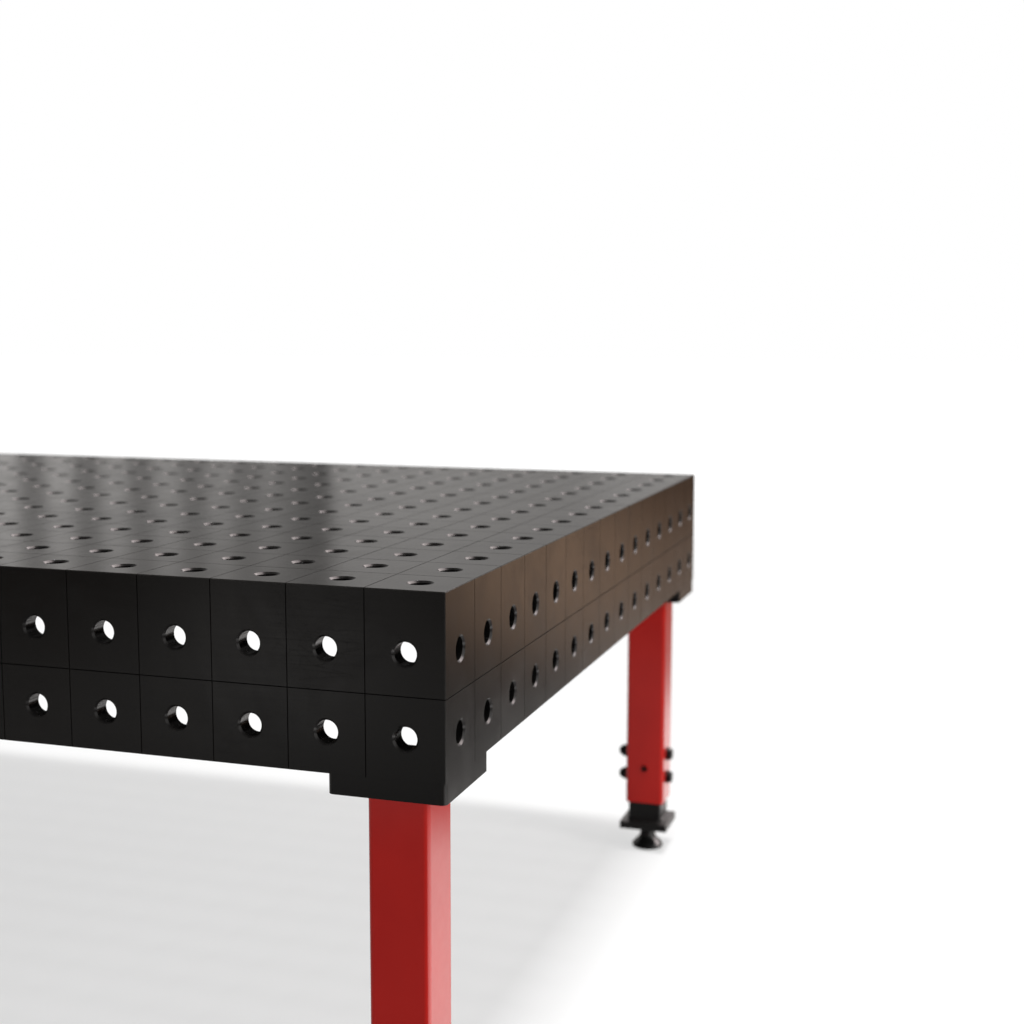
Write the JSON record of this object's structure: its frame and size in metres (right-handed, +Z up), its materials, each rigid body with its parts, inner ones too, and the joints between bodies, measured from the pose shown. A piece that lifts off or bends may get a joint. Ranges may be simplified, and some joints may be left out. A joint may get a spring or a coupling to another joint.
{
  "type": "welding table",
  "caption": "Perforated steel welding table with deep drilled sides on telescopic square legs with screw levelling feet.",
  "frame": {"origin": "on the floor under the centre of the table top", "axes": "+X along the table's length towards the right end, +Y towards the rear, +Z up"},
  "size_m": [3, 1.5, 0.795],
  "materials": {
    "nitrided_steel": "dark nitrided, ground",
    "black_steel": "mill black",
    "red_powder_coat": "semi gloss powder coat",
    "black_powder_coat": "satin powder coat",
    "black_fasteners": "black oxide",
    "zinc_plated_steel": "zinc plated",
    "foot_pad_steel": "gloss black"
  },
  "bodies": {
    "table": {"top_plate": "nitrided_steel", "side_plate_front": "nitrided_steel", "side_plate_rear": "nitrided_steel", "end_plate_left": "nitrided_steel", "end_plate_right": "nitrided_steel", "rib_long_front": "black_steel", "rib_long_rear": "black_steel", "rib_cross_left": "black_steel", "rib_cross_middle": "black_steel", "rib_cross_right": "black_steel", "corner_plate_fr": "nitrided_steel", "corner_plate_fl": "nitrided_steel", "corner_plate_rr": "nitrided_steel", "corner_plate_rl": "nitrided_steel", "leg_tube_fr": "red_powder_coat", "leg_tube_fl": "red_powder_coat", "leg_tube_rr": "red_powder_coat", "leg_tube_rl": "red_powder_coat", "leg_flange_fr": "black_steel", "leg_flange_fl": "black_steel", "leg_flange_rr": "black_steel", "leg_flange_rl": "black_steel", "flange_screws": "black_fasteners", "clamp_bolts": "black_fasteners", "clamp_washers": "black_fasteners", "clamp_nuts": "black_fasteners", "set_screws": "black_fasteners"},
    "leg_lower_fr": {"inner_tube_fr": "black_powder_coat", "foot_plate_fr": "black_powder_coat", "foot_nut_fr": "black_fasteners"},
    "ball_fr": {"swivel_ball_fr": "zinc_plated_steel"},
    "spindle_fr": {"foot_spindle_fr": "zinc_plated_steel"},
    "pad_fr": {"foot_pad_fr": "foot_pad_steel"},
    "leg_lower_fl": {"inner_tube_fl": "black_powder_coat", "foot_plate_fl": "black_powder_coat", "foot_nut_fl": "black_fasteners"},
    "ball_fl": {"swivel_ball_fl": "zinc_plated_steel"},
    "spindle_fl": {"foot_spindle_fl": "zinc_plated_steel"},
    "pad_fl": {"foot_pad_fl": "foot_pad_steel"},
    "leg_lower_rr": {"inner_tube_rr": "black_powder_coat", "foot_plate_rr": "black_powder_coat", "foot_nut_rr": "black_fasteners"},
    "ball_rr": {"swivel_ball_rr": "zinc_plated_steel"},
    "spindle_rr": {"foot_spindle_rr": "zinc_plated_steel"},
    "pad_rr": {"foot_pad_rr": "foot_pad_steel"},
    "leg_lower_rl": {"inner_tube_rl": "black_powder_coat", "foot_plate_rl": "black_powder_coat", "foot_nut_rl": "black_fasteners"},
    "ball_rl": {"swivel_ball_rl": "zinc_plated_steel"},
    "spindle_rl": {"foot_spindle_rl": "zinc_plated_steel"},
    "pad_rl": {"foot_pad_rl": "foot_pad_steel"}
  },
  "joints": [
    {"name": "leg_height_fr", "type": "slide", "parent": "table", "child": "leg_lower_fr", "axis": [0, 0, -1], "range_m": [0, 0.1]},
    {"name": "foot_lift_fr", "type": "slide", "parent": "leg_lower_fr", "child": "ball_fr", "axis": [0, 0, 1], "range_m": [-0.03, 0]},
    {"name": "foot_turn_fr", "type": "hinge", "parent": "ball_fr", "child": "spindle_fr", "pos_m": [1.425, -0.675, 0.016], "axis": [0, 0, 1], "range_deg": [-4320, 0]},
    {"name": "pad_tilt_fr", "type": "hinge", "parent": "ball_fr", "child": "pad_fr", "pos_m": [1.425, -0.675, 0.016], "axis": [1, 0, 0], "range_deg": [-8, 8]},
    {"name": "leg_height_fl", "type": "slide", "parent": "table", "child": "leg_lower_fl", "axis": [0, 0, -1], "range_m": [0, 0.1]},
    {"name": "foot_lift_fl", "type": "slide", "parent": "leg_lower_fl", "child": "ball_fl", "axis": [0, 0, 1], "range_m": [-0.03, 0]},
    {"name": "foot_turn_fl", "type": "hinge", "parent": "ball_fl", "child": "spindle_fl", "pos_m": [-1.425, -0.675, 0.016], "axis": [0, 0, 1], "range_deg": [-4320, 0]},
    {"name": "pad_tilt_fl", "type": "hinge", "parent": "ball_fl", "child": "pad_fl", "pos_m": [-1.425, -0.675, 0.016], "axis": [1, 0, 0], "range_deg": [-8, 8]},
    {"name": "leg_height_rr", "type": "slide", "parent": "table", "child": "leg_lower_rr", "axis": [0, 0, -1], "range_m": [0, 0.1]},
    {"name": "foot_lift_rr", "type": "slide", "parent": "leg_lower_rr", "child": "ball_rr", "axis": [0, 0, 1], "range_m": [-0.03, 0]},
    {"name": "foot_turn_rr", "type": "hinge", "parent": "ball_rr", "child": "spindle_rr", "pos_m": [1.425, 0.675, 0.016], "axis": [0, 0, 1], "range_deg": [-4320, 0]},
    {"name": "pad_tilt_rr", "type": "hinge", "parent": "ball_rr", "child": "pad_rr", "pos_m": [1.425, 0.675, 0.016], "axis": [1, 0, 0], "range_deg": [-8, 8]},
    {"name": "leg_height_rl", "type": "slide", "parent": "table", "child": "leg_lower_rl", "axis": [0, 0, -1], "range_m": [0, 0.1]},
    {"name": "foot_lift_rl", "type": "slide", "parent": "leg_lower_rl", "child": "ball_rl", "axis": [0, 0, 1], "range_m": [-0.03, 0]},
    {"name": "foot_turn_rl", "type": "hinge", "parent": "ball_rl", "child": "spindle_rl", "pos_m": [-1.425, 0.675, 0.016], "axis": [0, 0, 1], "range_deg": [-4320, 0]},
    {"name": "pad_tilt_rl", "type": "hinge", "parent": "ball_rl", "child": "pad_rl", "pos_m": [-1.425, 0.675, 0.016], "axis": [1, 0, 0], "range_deg": [-8, 8]}
  ],
  "couplings": [
    {"joint": "foot_turn_fr", "follows": "foot_lift_fr", "rad_per_m": 2513.3},
    {"joint": "foot_turn_fl", "follows": "foot_lift_fl", "rad_per_m": 2513.3},
    {"joint": "foot_turn_rr", "follows": "foot_lift_rr", "rad_per_m": 2513.3},
    {"joint": "foot_turn_rl", "follows": "foot_lift_rl", "rad_per_m": 2513.3}
  ]
}
